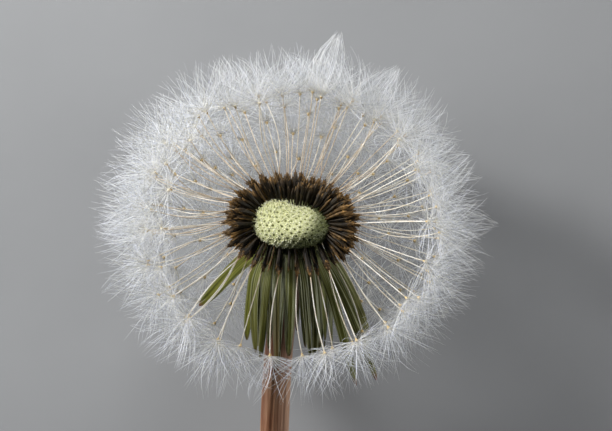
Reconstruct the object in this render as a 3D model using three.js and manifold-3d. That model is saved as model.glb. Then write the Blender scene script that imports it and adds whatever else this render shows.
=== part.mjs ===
// Dandelion seed head, picked, with the seeds on one side already blown away.
// Millimetres, +Z up. It lies on the surface z = 0 on its seed hairs and on the cut end of its stem.
//
// Everything is first drawn in the plant's own frame: +Z along the plant's axis, away from the stem,
// -Y the side that faces up once it lies down, and the middle of the head at 0, 0, 0.

import * as THREE from "three";
import { ConvexGeometry } from "three/addons/geometries/ConvexGeometry.js";
import { mergeVertices } from "three/addons/utils/BufferGeometryUtils.js";
import Module from "manifold-3d";

const wasm = await Module();
wasm.setup();

// Driving dimensions
const degrees = THREE.MathUtils.degToRad;

const HEAD_HEIGHT = 22.4; // middle of the head above the surface
const TILT = degrees(25); // rise of the plant's axis over the surface
const CLEARANCE = 0.3; // gap between pieces that touch
const SLIVER = 0.004; // faces thinner than this are dropped where pieces join
const SAME_POINT = 1e-4; // corners nearer than this are one
const PARALLEL = 1e-9; // pieces whose ways spread less than this count as parallel

const PAD_RADIUS = 4.9; // receptacle: a flattened cushion
const PAD_HEIGHT = 2.55; // half its thickness
const PAD_POINTS = 255;
const PIT_DEPTH = 0.1;
const PITTED = 1.15; // how far the pits reach, as a share of the bare side
const PAPILLA_HEIGHT = 0.14;
const DIMPLE = { x: 0.6, y: 1.0, radius: 0.8, depth: 0.22 }; // on its top
const LOBE = { x: -2.9, y: -0.8, radius: 1.9, height: 0.6 }; // on its top, at the left
const SUNK = { from: -3.0, to: 1.8, depth: 0.68 }; // its top is lower to the right
const HEEL = { x: 3.5, z: -1.3, radius: 1.7, push: 0.45 }; // its right end is blunt underneath

const SEED_COUNT = 202; // on the whole head, before any blow away
const SEED_END = degrees(153); // furthest a seed leans from the plant's axis
const SEED_WAVER = 0.045; // radians by which it strays from its place on the spiral
const SEED_GAP = 0.2; // least space to stem and bracts
const ROOT_SHARE = 0.8; // angle of a root, as a share of the angle of its seed
const ROOT_TURN = degrees(9); // how far roots at the sides are turned off the bare side
const FRONT_SEEDS = [
  { fromAxis: 153, bearing: -14 },
  { fromAxis: 152, bearing: -36 },
  { fromAxis: 155, bearing: 8 },
];
const FRONT_NEAR = Math.cos(degrees(5)); // none of the others stands as near to one of these
const BARE_WAVER = 0.08; // share by which the edge of the bare side wavers
const BARE_TILT = degrees(20); // bare side: its middle, over the plant's level
const BARE_ACROSS = degrees(57); // half its width
const BARE_ALONG = degrees(77); // half its height

const ACHENE_LENGTH = 3.5; // from the receptacle
const ACHENE_WAVER = 0.2;
const ACHENE_ROOT = 0.24;
const ACHENE_WIDTH = 0.46; // half its width at the thickest
const ACHENE_SIDES = 3;
const ACHENE_THICKEST = 0.62; // share of its length
const CORE = { offset: 0.5, thickness: 0.5, edge: 0.88, top: 0.12, past: 0.08, columns: 22, rows: 6 };
const CORE_SEARCH = { step: 0.02, short: 0.2 }; // radians, to find where its upper edge runs

const BEAK_LENGTH = 9.3;
const BEAK_WAVER = 0.5;
const BEAK_NARROWING = 0.25; // by the time it reaches the achene
const HUB_RADIUS = 0.3;
const HAIR_COUNT = 16;
const HAIR_LENGTH = 6.6;
const HAIR_WAVER = 0.05; // share by which its length varies
const HAIR_ROOT = 0.14; // half its width at the hub
const HAIR_END = 0.01;
const HAIR_GAP = 0.03; // least space between hairs that don't meet
const HAIR_TRIES = 24; // leans that are tried to get it
const HAIR_LEAN = { fromWay: 0.1, bearing: 0.14 }; // radians each way that it may lean
const HUB_LIFT = 0.5; // least height of a hair's root
const HAIR_RINGS = [
  { first: 0, spread: degrees(7) },
  { first: 1, spread: degrees(27) },
  { first: 4, spread: degrees(49) },
  { first: 10, spread: degrees(67) },
];
const CROSSING = { from: 0.2, to: 0.62 }; // where along two hairs they may be joined

const BRACT_COUNT = 18;
const BRACT_LENGTH = 13.4;
const BRACT_WIDTH = 1.2;
const BRACT_THICKNESS = 0.6;
const BRACT_SPLAY = 1.5;
const BRACT_WAVER = { bearing: 2, length: 1.6, splay: 2.5 };
const BRACT_ROOT = { reach: 3.05, drop: 3.15, shoulder: 1.7, bend: 7 };
const BRACT_STEPS = 4;
const BRACT_TAPER = { root: 0.68, tip: 0.93, power: 3 }; // widens from its root, narrows to its tip
const BRACT_SLOPE = 0.02; // share of the length over which its way is taken
// A few stand away from the others, rolled to show their flat side.
const STRAY_BRACTS = [
  { bearing: -95, length: 10.4, splay: 46, width: 1.9 },
  { bearing: 97, length: 13.5, splay: 24, width: 1.5 },
  { bearing: 75, length: 17.8, splay: 22, width: 1.4 },
  { bearing: 58, length: 17, splay: 17, width: 1.3 },
];
const STRAY_ROLL = 0.9;
const ROLLED_BY = 0.25; // share of the length by which it is rolled
const COLLAR = { inner: 2.1, top: -2.75, bottom: -4.9, rim: 3.3, lip: 0.5, waist: 2.7 };

const STEM_RADIUS = 1.75;
const STEM_BORE = 1.1;
const STEM_SIDES = 12;
const STEM_TOP = 3.05; // below the middle of the head
const STEM_STRAIGHT = 38; // where it starts to bend down to the surface
const STEM_FLAT = 5; // last stretch, flat on the surface
const STEM_LEAN = { reach: 2.8, from: 5, over: 15 }; // sideways, and where along the stem
const STEM_STEPS = 10;
const OBSTACLE_STEP = 6; // length of the straight pieces that stand for the stem

const GOLDEN_ANGLE = Math.PI * (3 - Math.sqrt(5));

// Which draw each thing takes, so that no two share one.
const DRAW = {
  seedLean: 1,
  seedBearing: 2,
  bareEdge: 3,
  acheneLength: 4,
  beakLength: 5,
  bractBearing: 11,
  bractLength: 12,
  bractSplay: 13,
  hairBearing: 50,
  hairLength: 99,
};

// The surface z = 0 and the up direction, as the plant's own frame sees them.
const UP = new THREE.Vector3(0, -Math.cos(TILT), Math.sin(TILT));
const heightOf = (point) => HEAD_HEIGHT + point.dot(UP);

// A repeatable number from 0 to 1 for piece i, draw k.
function draw(i, k) {
  const wave = Math.sin(i * 127.1 + k * 311.7) * 43758.5453;
  return wave - Math.floor(wave);
}

const jitter = (i, k, size) => (draw(i, k) * 2 - 1) * size;

// A direction by its angle from the plant's axis and its bearing, 0 towards -Y.
function direction(fromAxis, bearing) {
  return new THREE.Vector3(
    Math.sin(fromAxis) * Math.sin(bearing),
    -Math.sin(fromAxis) * Math.cos(bearing),
    Math.cos(fromAxis),
  );
}

// How far the receptacle's top is over that of a plain cushion.
function riseOf(point) {
  const bump = ({ x, y, radius }) =>
    Math.exp(-((point.x - x) ** 2 + (point.y - y) ** 2) / radius ** 2);
  const sunk = SUNK.depth * THREE.MathUtils.smoothstep(point.x, SUNK.from, SUNK.to);
  const rise = LOBE.height * bump(LOBE) - DIMPLE.depth * bump(DIMPLE) - sunk;
  return rise * Math.max(point.z / PAD_HEIGHT, 0);
}

// Moves a point of the plain cushion to where it is on the uneven one.
function shape(point) {
  const away = (point.x - HEEL.x) ** 2 + (point.z - HEEL.z) ** 2;
  const push = HEEL.push * Math.exp(-away / HEEL.radius ** 2);
  const outward = new THREE.Vector3(point.x, 0, point.z).setLength(push);
  return point.setZ(point.z + riseOf(point)).add(outward);
}

const PAD_AXES = new THREE.Vector3(PAD_RADIUS, PAD_RADIUS, PAD_HEIGHT);

// A point of the plain cushion, by its angle parameter from the top and its bearing.
const onCushion = (angle, bearing) => direction(angle, bearing).multiply(PAD_AXES);

// A point at a distance over the receptacle.
function overPad(angle, bearing, distance) {
  const point = shape(onCushion(angle, bearing));
  return point.addScaledVector(direction(angle, bearing).divide(PAD_AXES).normalize(), distance);
}

// Seeds sit evenly on the receptacle: those that lean furthest are rooted under its rim.
function rootAngle(fromAxis) {
  const square = Math.atan2(PAD_RADIUS * Math.sin(fromAxis), PAD_HEIGHT * Math.cos(fromAxis));
  return (square + ROOT_SHARE * fromAxis) / 2;
}

// How far inside the bare side a direction lies: under 1 is bare.
function bareMeasure(way) {
  const middle = direction(Math.PI / 2 - BARE_TILT, 0);
  const upward = direction(-BARE_TILT, 0);
  const ahead = way.dot(middle);
  if (ahead <= 0) return Infinity;
  return Math.hypot(
    way.x / ahead / Math.tan(BARE_ACROSS),
    way.dot(upward) / ahead / Math.tan(BARE_ALONG),
  );
}

// Solids
function toSolid(geometry) {
  const bare = geometry.clone();
  bare.deleteAttribute("normal");
  bare.deleteAttribute("uv");
  const merged = mergeVertices(bare, SAME_POINT);
  return new wasm.Manifold(
    new wasm.Mesh({
      numProp: 3,
      vertProperties: merged.attributes.position.array,
      triVerts: new Uint32Array(merged.index.array),
    }),
  );
}

// Joins solids into one and drops the slivers where their faces cross.
function join(solids) {
  return toGeometry(wasm.Manifold.union(solids).simplify(SLIVER));
}

function toGeometry(solid) {
  const { vertProperties, triVerts } = solid.getMesh();
  const geometry = new THREE.BufferGeometry();
  geometry.setAttribute("position", new THREE.BufferAttribute(vertProperties, 3));
  geometry.setIndex(new THREE.BufferAttribute(triVerts, 1));
  const flat = geometry.toNonIndexed();
  flat.computeVertexNormals();
  return flat;
}

// A geometry from a list of triangles, each three points.
function fromTriangles(triangles) {
  return new THREE.BufferGeometry().setFromPoints(triangles.flat());
}

// Moves each vertex of a geometry to where a function puts it.
function reshape(geometry, place) {
  const position = geometry.attributes.position;
  for (let i = 0; i < position.count; i += 1) {
    const point = place(new THREE.Vector3().fromBufferAttribute(position, i));
    position.setXYZ(i, point.x, point.y, point.z);
  }
  return geometry;
}

// Distances between straight pieces: where two come closest, as shares of their lengths.
function closest(a, b) {
  const gap = a.from.clone().sub(b.from);
  const lengthA = a.along.lengthSq();
  const lengthB = b.along.lengthSq();
  const cross = a.along.dot(b.along);
  const gapA = a.along.dot(gap);
  const gapB = b.along.dot(gap);
  const spread = Math.max(lengthA * lengthB - cross * cross, PARALLEL);
  const clamp = THREE.MathUtils.clamp;
  let onB = clamp((lengthA * gapB - cross * gapA) / spread, 0, 1);
  const onA = clamp((cross * onB - gapA) / lengthA, 0, 1);
  onB = clamp((cross * onA + gapB) / lengthB, 0, 1);
  const pointA = a.from.clone().addScaledVector(a.along, onA);
  const pointB = b.from.clone().addScaledVector(b.along, onB);
  return { onA, onB, distance: pointA.distanceTo(pointB), middle: pointA.lerp(pointB, 0.5) };
}

const stretch = (from, to, startRadius, endRadius = startRadius) => ({
  from,
  along: to.clone().sub(from),
  startRadius,
  endRadius,
});

const radiusAt = (piece, share) => THREE.MathUtils.lerp(piece.startRadius, piece.endRadius, share);

function tooClose(a, b, gap) {
  const near = closest(a, b);
  return near.distance < radiusAt(a, near.onA) + radiusAt(b, near.onB) + gap;
}

// Stem: straight below the head, then an arc down to the surface and a short flat end.
const FLAT_RADIUS = STEM_RADIUS * Math.cos(Math.PI / STEM_SIDES);
const BEND_RADIUS =
  (HEAD_HEIGHT - FLAT_RADIUS - STEM_STRAIGHT * Math.sin(TILT)) / (1 - Math.cos(TILT));
const STEM_END = STEM_STRAIGHT + BEND_RADIUS * TILT + STEM_FLAT;

// The middle of the stem at a distance down from the head, and the side of it that faces up.
function stemAt(distance) {
  const bend = THREE.MathUtils.clamp((distance - STEM_STRAIGHT) / BEND_RADIUS, 0, TILT);
  const straight = Math.min(distance, STEM_STRAIGHT);
  const after = Math.max(distance - STEM_STRAIGHT - BEND_RADIUS * TILT, 0);
  const leaning = Math.max(distance - STEM_LEAN.from, 0) / STEM_LEAN.over;
  const lean = -STEM_LEAN.reach * (1 - Math.exp(-leaning));
  return {
    middle: new THREE.Vector3(
      lean,
      -BEND_RADIUS * (1 - Math.cos(bend)) - after * Math.sin(bend),
      -straight - BEND_RADIUS * Math.sin(bend) - after * Math.cos(bend),
    ),
    upper: new THREE.Vector3(0, -Math.cos(bend), Math.sin(bend)),
  };
}

function polygon(radius, sides) {
  return Array.from({ length: sides }, (_, k) => {
    const angle = ((k + 0.5) / sides) * 2 * Math.PI;
    return new THREE.Vector2(radius * Math.cos(angle), radius * Math.sin(angle));
  });
}

function stemGeometry() {
  const ring = new THREE.Shape(polygon(STEM_RADIUS, STEM_SIDES));
  ring.holes.push(new THREE.Path(polygon(STEM_BORE, STEM_SIDES)));
  const tube = new THREE.ExtrudeGeometry(ring, {
    depth: STEM_END - STEM_TOP,
    steps: STEM_STEPS,
    bevelEnabled: false,
  });
  return reshape(tube, (point) => {
    const { middle, upper } = stemAt(STEM_TOP + point.z);
    return middle.addScaledVector(upper, point.y).setX(middle.x + point.x);
  });
}

// Receptacle: a cushion, uneven on top; on its bare side a pit at each seed's place, with small
// papillae standing between the pits.
function padGeometry() {
  const points = [];
  for (let i = 0; i < PAD_POINTS; i += 1) {
    const angle = Math.acos(1 - (2 * i + 1) / PAD_POINTS);
    points.push(onCushion(angle, i * GOLDEN_ANGLE));
  }
  const outward = (point) => point.clone().divide(PAD_AXES).divide(PAD_AXES).normalize();
  const isBare = (point) => bareMeasure(outward(point)) < PITTED;
  const raise = (point, height) => point.clone().addScaledVector(outward(point), height);
  const pit = (point) => (isBare(point) ? raise(point, -PIT_DEPTH) : point);
  const hull = new ConvexGeometry(points).attributes.position;
  const triangles = [];
  for (let i = 0; i < hull.count; i += 3) {
    const corners = [0, 1, 2].map((k) => new THREE.Vector3().fromBufferAttribute(hull, i + k));
    const middle = corners[0].clone().add(corners[1]).add(corners[2]).divideScalar(3);
    const rim = corners.map(pit);
    if (isBare(middle)) {
      const top = raise(middle, PAPILLA_HEIGHT);
      rim.forEach((corner, k) => triangles.push([corner, rim[(k + 1) % 3], top]));
    } else {
      triangles.push(rim);
    }
  }
  return reshape(fromTriangles(triangles), shape);
}

// Bracts: narrow green straps bent back around the stem.
const bracts = Array.from({ length: BRACT_COUNT }, (_, i) => {
  const spacing = 360 / BRACT_COUNT;
  const bearing = spacing * i + jitter(i, DRAW.bractBearing, BRACT_WAVER.bearing);
  const turn = (one) => Math.abs(((one.bearing - bearing + 540) % 360) - 180);
  const stray = STRAY_BRACTS.find((one) => turn(one) < spacing / 2);
  const bract = stray ?? {
    bearing,
    length: BRACT_LENGTH + jitter(i, DRAW.bractLength, BRACT_WAVER.length),
    splay: BRACT_SPLAY + jitter(i, DRAW.bractSplay, BRACT_WAVER.splay),
    width: BRACT_WIDTH,
  };
  return {
    bearing: degrees(bract.bearing),
    length: bract.length,
    splay: degrees(bract.splay),
    width: bract.width,
    roll: stray ? STRAY_ROLL : 0,
  };
});

// A bract's middle line: out from under the receptacle, then down at its splay.
function bractAt(bract, share) {
  const drop = share * bract.length;
  const shoulder = BRACT_ROOT.shoulder * (1 - Math.exp(-share * BRACT_ROOT.bend));
  const reach = BRACT_ROOT.reach + shoulder + Math.sin(bract.splay) * Math.max(drop - 1, 0);
  const depth = BRACT_ROOT.drop + drop * Math.sqrt(Math.cos(bract.splay));
  return direction(Math.PI / 2, bract.bearing).multiplyScalar(reach).setZ(-depth);
}

function bractSolid(bract) {
  const outward = direction(Math.PI / 2, bract.bearing);
  const strap = new THREE.BoxGeometry(1, 1, 1, 1, 1, BRACT_STEPS);
  return toSolid(
    reshape(strap, (point) => {
      const share = point.z + 0.5;
      const before = bractAt(bract, share - BRACT_SLOPE);
      const ahead = bractAt(bract, share + BRACT_SLOPE).sub(before).normalize();
      const square = (way) => way.clone().addScaledVector(ahead, -way.dot(ahead)).normalize();
      const rolled = bract.roll * Math.min(share / ROLLED_BY, 1);
      const outer = square(outward).lerp(square(UP), rolled).normalize();
      const side = new THREE.Vector3().crossVectors(outer, ahead);
      const widening = Math.min(1, BRACT_TAPER.root + share);
      const narrowing = Math.sqrt(1 - BRACT_TAPER.tip * share ** BRACT_TAPER.power);
      const width = bract.width * widening * narrowing;
      return bractAt(bract, share)
        .addScaledVector(side, point.x * width)
        .addScaledVector(outer, point.y * BRACT_THICKNESS);
    }),
  );
}

function bractsGeometry() {
  const profile = [
    [COLLAR.inner, COLLAR.top],
    [COLLAR.inner, COLLAR.bottom],
    [COLLAR.waist, COLLAR.bottom],
    [COLLAR.rim, COLLAR.top - COLLAR.lip],
    [COLLAR.rim, COLLAR.top],
    [COLLAR.inner, COLLAR.top],
  ].map(([radius, height]) => new THREE.Vector2(radius, height));
  const collar = new THREE.LatheGeometry(profile, BRACT_COUNT).rotateX(Math.PI / 2);
  return join([toSolid(collar), ...bracts.map(bractSolid)]);
}

// What the seeds have to stay clear of.
const obstacles = [];
for (let from = COLLAR.inner; from < STEM_END; from += OBSTACLE_STEP) {
  const to = from + OBSTACLE_STEP;
  obstacles.push(stretch(stemAt(from).middle, stemAt(to).middle, STEM_RADIUS));
}
for (const bract of bracts) {
  for (let k = 0; k < BRACT_STEPS; k += 1) {
    const ends = [k, k + 1].map((step) => bractAt(bract, step / BRACT_STEPS));
    obstacles.push(stretch(...ends, BRACT_THICKNESS / 2));
  }
}

// A seed by its way: where its achene starts and ends, and where its beak does. The hubs stand as
// over a plain cushion, so that the head is round.
function makeSeed(index, fromAxis, bearing) {
  const way = direction(fromAxis, bearing);
  const place = [rootAngle(fromAxis), bearing + ROOT_TURN * Math.sin(bearing)];
  const root = overPad(...place, CORE.offset + CORE.thickness / 2);
  const achene = ACHENE_LENGTH + jitter(index, DRAW.acheneLength, ACHENE_WAVER);
  const tip = overPad(...place, 0).addScaledVector(way, achene);
  const beak = BEAK_LENGTH + jitter(index, DRAW.beakLength, BEAK_WAVER);
  const hub = onCushion(...place).addScaledVector(way, achene + beak);
  const beakStart = tip.clone().lerp(hub, CLEARANCE / beak);
  return { index, way, root, tip, beakStart, hub };
}

function isClear({ root, tip, beakStart, hub }) {
  const body = [stretch(root, tip, ACHENE_WIDTH), stretch(beakStart, hub, HUB_RADIUS)];
  return !body.some((part) => obstacles.some((other) => tooClose(part, other, SEED_GAP)));
}

// Seeds: a few hang down in front, and the others stand on a spiral over the head, apart from
// those of the bare side.
const hanging = FRONT_SEEDS.map(({ fromAxis, bearing }, i) =>
  makeSeed(SEED_COUNT + i, degrees(fromAxis), degrees(bearing)),
);
const seeds = [...hanging];
for (let i = 0; i < SEED_COUNT; i += 1) {
  const share = (i + 0.5) / SEED_COUNT;
  const even = Math.acos(1 - share * (1 - Math.cos(SEED_END)));
  const fromAxis = even + jitter(i, DRAW.seedLean, SEED_WAVER);
  const stray = jitter(i, DRAW.seedBearing, SEED_WAVER) / Math.sin(fromAxis);
  const seed = makeSeed(i, fromAxis, i * GOLDEN_ANGLE + stray);
  const isBare = bareMeasure(seed.way) < 1 + jitter(i, DRAW.bareEdge, BARE_WAVER);
  const isRepeated = hanging.some((front) => front.way.dot(seed.way) > FRONT_NEAR);
  if (!isBare && !isRepeated && isClear(seed)) seeds.push(seed);
}

// Achenes: brown spindles, packed side by side on a thin ring round the receptacle.
function coreGeometry() {
  const { offset, thickness, columns, rows } = CORE;
  const { step, short } = CORE_SEARCH;
  const lowest = rootAngle(SEED_END) + CORE.past;
  const section = [];
  for (let row = 0; row <= rows; row += 1) section.push([row / rows, offset + thickness]);
  for (let row = rows; row >= 0; row -= 1) section.push([row / rows, offset]);
  const rings = Array.from({ length: columns }, (_, column) => {
    const bearing = (column / columns) * 2 * Math.PI;
    let edge = CORE.top;
    while (edge < SEED_END - short && bareMeasure(direction(edge, bearing)) < CORE.edge) edge += step;
    const turned = bearing + ROOT_TURN * Math.sin(bearing);
    return section.map(([share, distance]) =>
      overPad(THREE.MathUtils.lerp(rootAngle(edge), lowest, share), turned, distance),
    );
  });
  const triangles = [];
  rings.forEach((ring, column) => {
    const next = rings[(column + 1) % columns];
    ring.forEach((point, k) => {
      const after = (k + 1) % ring.length;
      triangles.push([point, ring[after], next[after]], [point, next[after], next[k]]);
    });
  });
  return fromTriangles(triangles);
}

function acheneSolid(seed) {
  const length = seed.tip.distanceTo(seed.root);
  const profile = [
    [0, 0],
    [ACHENE_ROOT, 0],
    [ACHENE_WIDTH, ACHENE_THICKEST * length],
    [0, length],
  ].map(([radius, height]) => new THREE.Vector2(radius, height));
  const way = seed.tip.clone().sub(seed.root).normalize();
  const turn = new THREE.Quaternion().setFromUnitVectors(new THREE.Vector3(0, 1, 0), way);
  const spindle = new THREE.LatheGeometry(profile, ACHENE_SIDES).rotateY(seed.index);
  return toSolid(spindle.applyQuaternion(turn).translate(...seed.root));
}

function achenesGeometry() {
  return join([toSolid(coreGeometry()), ...seeds.map(acheneSolid)]);
}

// Parachutes: each seed's beak ends in a small hub with hairs standing from its faces.
// Each hair is a face of the hub, drawn out to a point.
const hubFaces = [];
const icosahedron = new THREE.IcosahedronGeometry(HUB_RADIUS, 0).attributes.position;
for (let i = 0; i < icosahedron.count; i += 3) {
  hubFaces.push([0, 1, 2].map((k) => new THREE.Vector3().fromBufferAttribute(icosahedron, i + k)));
}
const middleOf = (face) => face[0].clone().add(face[1]).add(face[2]).divideScalar(3);

// Turns the hub so that one face looks along the seed.
const squareUp = new THREE.Quaternion().setFromUnitVectors(
  middleOf(hubFaces[0]).normalize(),
  new THREE.Vector3(0, 0, 1),
);

// Where a hair's point ends: along its way, but not below the surface.
function hairTip(hub, way, length) {
  const tip = hub.clone().addScaledVector(way, length);
  return tip.addScaledVector(UP, Math.max(-heightOf(tip), 0));
}

function makeParachute(seed) {
  const twist = new THREE.Quaternion().setFromAxisAngle(new THREE.Vector3(0, 0, 1), seed.index);
  const aim = new THREE.Quaternion()
    .setFromUnitVectors(new THREE.Vector3(0, 0, 1), seed.way)
    .multiply(twist);
  const faces = hubFaces.map((face) => {
    const square = face.map((corner) => corner.clone().applyQuaternion(squareUp));
    const middle = middleOf(square).normalize();
    return {
      corners: square.map((corner) => corner.applyQuaternion(aim).add(seed.hub)),
      fromWay: Math.acos(THREE.MathUtils.clamp(middle.z, -1, 1)),
      bearing: Math.atan2(middle.y, middle.x),
    };
  });
  faces.sort((a, b) => a.fromWay - b.fromWay);
  const hairs = faces.slice(0, HAIR_COUNT).map((face, k) => {
    const { spread } = HAIR_RINGS.findLast(({ first }) => k >= first);
    return { face, spread, seed, key: seed.index * faces.length + k, aim, joined: false };
  });
  for (const hair of hairs) aimHair(hair, 0);
  return { seed, faces, hairs };
}

// Sets a hair's way. A later try leans it a little differently.
function aimHair(hair, attempt) {
  const lean = hair.spread + jitter(hair.key, attempt, HAIR_LEAN.fromWay);
  const stray = jitter(hair.key, attempt + DRAW.hairBearing, HAIR_LEAN.bearing);
  const bearing = hair.face.bearing + stray;
  const way = new THREE.Vector3(
    Math.sin(lean) * Math.cos(bearing),
    Math.sin(lean) * Math.sin(bearing),
    Math.cos(lean),
  ).applyQuaternion(hair.aim);
  const length = HAIR_LENGTH * (1 + jitter(hair.key, DRAW.hairLength, HAIR_WAVER));
  setHair(hair, hairTip(hair.seed.hub, way, length));
}

function setHair(hair, tip) {
  hair.tip = tip;
  hair.line = stretch(middleOf(hair.face.corners), tip, HAIR_ROOT, HAIR_END);
}

const parachutes = seeds.map(makeParachute);

// Neighbouring parachutes hold each other where two of their hairs cross. The closest pairs are
// turned until they meet, until every parachute hangs on the others.
function joinNeighbours() {
  const crossings = [];
  parachutes.forEach((one, i) => {
    parachutes.slice(0, i).forEach((other, j) => {
      if (one.seed.hub.distanceTo(other.seed.hub) > 2 * HAIR_LENGTH * CROSSING.to) return;
      for (const a of one.hairs) {
        for (const b of other.hairs) {
          const near = closest(a.line, b.line);
          const places = [near.onA, near.onB];
          const inside = places.every((place) => place > CROSSING.from && place < CROSSING.to);
          if (inside) crossings.push({ ...near, a, b, i, j });
        }
      }
    });
  });
  crossings.sort((x, y) => x.distance - y.distance);
  const group = parachutes.map((_, i) => i);
  for (const { a, b, i, j, middle } of crossings) {
    if (group[i] === group[j] || a.joined || b.joined) continue;
    for (const hair of [a, b]) {
      const start = hair.line.from;
      const way = middle.clone().sub(start).normalize();
      setHair(hair, hairTip(start, way, start.distanceTo(hair.tip)));
      hair.joined = true;
    }
    const [kept, merged] = [group[i], group[j]];
    group.forEach((name, k) => {
      if (name === merged) group[k] = kept;
    });
  }
}

// The other hairs lean a little to miss each other and everything else. One that can't is left out.
function clearHairs() {
  const placed = parachutes.flatMap(({ hairs }) => hairs.filter((hair) => hair.joined));
  const beaks = seeds.map((seed) => ({ seed, line: stretch(seed.beakStart, seed.hub, HAIR_ROOT) }));
  const reach = 2 * (HAIR_LENGTH + HUB_RADIUS);
  for (const { seed, hairs } of parachutes) {
    const others = [...placed, ...beaks].filter(
      (other) => other.seed !== seed && other.seed.hub.distanceTo(seed.hub) < reach,
    );
    const near = obstacles.filter((part) => tooClose(part, stretch(seed.hub, seed.hub), HAIR_LENGTH));
    for (const hair of hairs.filter((one) => !one.joined)) {
      const isFree = () =>
        heightOf(hair.face.corners[0]) > HUB_LIFT &&
        !others.some((other) => tooClose(hair.line, other.line, HAIR_GAP)) &&
        !near.some((part) => tooClose(hair.line, part, CLEARANCE));
      let attempt = 0;
      while (!isFree() && attempt < HAIR_TRIES) {
        attempt += 1;
        aimHair(hair, attempt);
      }
      hair.dropped = !isFree();
      if (!hair.dropped) placed.push(hair);
    }
  }
}

function parachuteSolid({ seed, faces, hairs }) {
  const triangles = [];
  const back = seed.hub.clone().sub(seed.beakStart);
  faces.forEach(({ corners }, k) => {
    const hair = hairs[k];
    const isBeak = k === faces.length - 1;
    if (isBeak) {
      const centre = middleOf(corners);
      const far = corners.map((corner) => corner.clone().lerp(centre, BEAK_NARROWING).sub(back));
      corners.forEach((corner, side) => {
        const next = (side + 1) % 3;
        triangles.push([corner, corners[next], far[next]], [corner, far[next], far[side]]);
      });
      triangles.push(far);
    } else if (hair && !hair.dropped) {
      corners.forEach((corner, side) => triangles.push([corner, corners[(side + 1) % 3], hair.tip]));
    } else {
      triangles.push(corners);
    }
  });
  return toSolid(fromTriangles(triangles));
}

function parachutesGeometry() {
  joinNeighbours();
  clearHairs();
  return join(parachutes.map(parachuteSolid));
}

const PIECES = {
  stem: { geometry: stemGeometry(), colour: 0x9a6a4c, roughness: 0.6 },
  receptacle: { geometry: padGeometry(), colour: 0xd3d6a0, roughness: 0.7 },
  bracts: { geometry: bractsGeometry(), colour: 0x6f7a35, roughness: 0.65 },
  achenes: { geometry: achenesGeometry(), colour: 0x4a3018, roughness: 0.75 },
  parachutes: { geometry: parachutesGeometry(), colour: 0xe6e7e2, roughness: 0.5 },
};

const plant = new THREE.Group();
for (const [name, { geometry, colour, roughness }] of Object.entries(PIECES)) {
  const material = new THREE.MeshStandardMaterial({ color: colour, roughness, metalness: 0 });
  const mesh = new THREE.Mesh(geometry, material);
  mesh.name = name;
  plant.add(mesh);
}

// Lay the plant down, with the origin under the middle of its outline on the surface.
plant.rotation.x = TILT - Math.PI / 2;
plant.position.z = HEAD_HEIGHT;
const seedHead = new THREE.Group().add(plant);
const outline = new THREE.Box3().setFromObject(seedHead, true).getCenter(new THREE.Vector3());
plant.position.x -= outline.x;
plant.position.y -= outline.y;

export default seedHead;
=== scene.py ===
"""A picked dandelion seed head with one side blown bare, dressed around its solid frame.

Shapes are worked out in millimetres in the plant's own frame: +Z along the plant's axis, away
from the stem, -Y the side that faces up now that it lies down, 0, 0, 0 the middle of the head.
"""

import math

import bmesh
import bpy
import numpy as np
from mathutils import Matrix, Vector
from mathutils.geometry import delaunay_2d_cdt
from mathutils.kdtree import KDTree


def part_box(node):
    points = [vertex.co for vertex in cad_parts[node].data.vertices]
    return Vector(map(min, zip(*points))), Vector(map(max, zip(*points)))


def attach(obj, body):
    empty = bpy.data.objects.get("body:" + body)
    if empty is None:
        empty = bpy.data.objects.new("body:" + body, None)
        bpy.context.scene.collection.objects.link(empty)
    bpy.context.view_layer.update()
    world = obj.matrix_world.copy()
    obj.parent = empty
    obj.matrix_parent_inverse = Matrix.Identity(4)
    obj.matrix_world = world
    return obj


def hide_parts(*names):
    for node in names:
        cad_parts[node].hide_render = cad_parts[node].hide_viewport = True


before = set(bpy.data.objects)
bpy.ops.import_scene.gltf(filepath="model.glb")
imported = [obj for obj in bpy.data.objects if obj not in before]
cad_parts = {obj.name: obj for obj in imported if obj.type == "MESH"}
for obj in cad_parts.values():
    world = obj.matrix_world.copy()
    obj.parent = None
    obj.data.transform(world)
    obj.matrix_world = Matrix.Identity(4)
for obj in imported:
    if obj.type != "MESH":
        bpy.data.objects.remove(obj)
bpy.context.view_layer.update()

MM = 0.001
TINY = 1e-9
CLOSE = 1e-6

# Driving dimensions of the solid frame, in millimetres
HEAD_HEIGHT = 22.4
TILT = math.radians(25)
PAD_RADIUS = 4.9
PAD_HEIGHT = 2.55
DIMPLE = {"x": 0.6, "y": 1.0, "radius": 0.8, "depth": 0.22}
LOBE = {"x": -2.9, "y": -0.8, "radius": 1.9, "height": 0.6}
SUNK = {"from": -3.0, "to": 1.8, "depth": 0.68}
HEEL = {"x": 3.5, "z": -1.3, "radius": 1.7, "push": 0.45}
SEED_COUNT = 202
SEED_END = math.radians(153)
ROOT_TURN = math.radians(9)
ROOT_SHARE = 0.8
SEED_WAVER = 0.045
BARE_JITTER = 0.08
BARE_TILT = math.radians(20)
BARE_ACROSS = math.radians(57)
BARE_ALONG = math.radians(77)
ACHENE_LENGTH = 3.5
ACHENE_WAVER = 0.2
ACHENE_WIDTH = 0.46
BEAK_LENGTH = 9.3
BEAK_WAVER = 0.5
HUB_RADIUS = 0.3
HAIR_LENGTH = 6.6
BRACT_COUNT = 18
BRACT_LENGTH = 13.4
BRACT_WIDTH = 1.2
BRACT_ROOT = {"reach": 3.05, "drop": 3.15, "shoulder": 1.7, "bend": 7}
BRACT_STRAIGHTS = 4
BRACT_SPLAY = 1.5
BRACT_WAVER = {"bearing": 2, "length": 1.6, "splay": 2.5}
COLLAR_INNER = 2.1
STEM_RADIUS = 1.75
STEM_BORE = 1.1
STEM_SIDES = 12
STEM_TOP = 3.05
STEM_STRAIGHT = 38
STEM_FLAT = 5
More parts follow.
